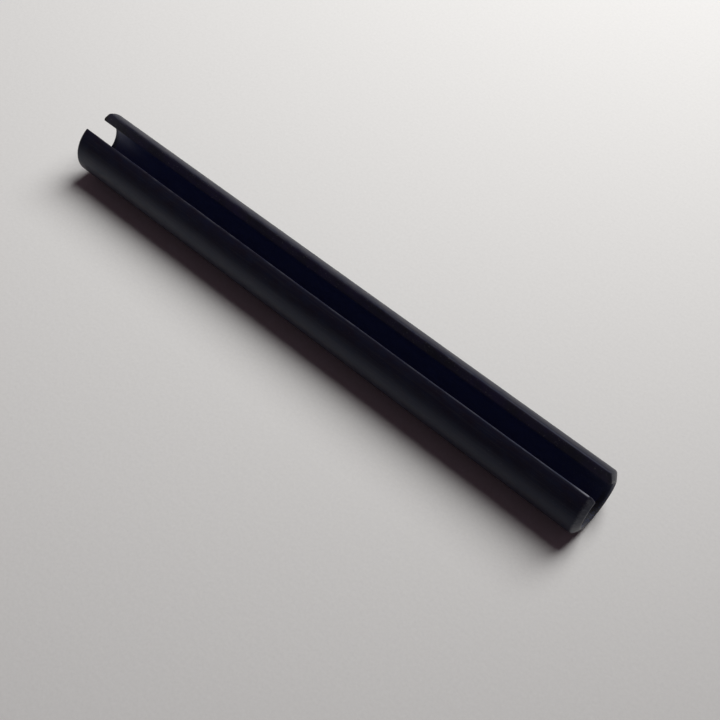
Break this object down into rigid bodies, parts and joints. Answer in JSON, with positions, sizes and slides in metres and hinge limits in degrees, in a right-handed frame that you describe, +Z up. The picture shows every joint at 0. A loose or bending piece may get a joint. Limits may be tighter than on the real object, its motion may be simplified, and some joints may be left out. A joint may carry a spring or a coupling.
{
  "type": "spring roll pin",
  "caption": "Slotted tubular spring pin of rolled steel strip with a narrowed nose at each end; driven into a slightly smaller hole, it springs out to hold itself and to locate or hinge parts.",
  "frame": {"origin": "on the surface that the pin lies on, under the middle of its length", "axes": "+X along the pin, +Z up towards its slot, +Y across it"},
  "size_m": [0.0804, 0.0084, 0.008],
  "materials": {
    "spring_steel": "blue-black oxide, lightly oiled, worn pale on the noses and along the slot's edges"
  },
  "bodies": {
    "root": {"spring_pin": "spring_steel"}
  },
  "joints": []
}
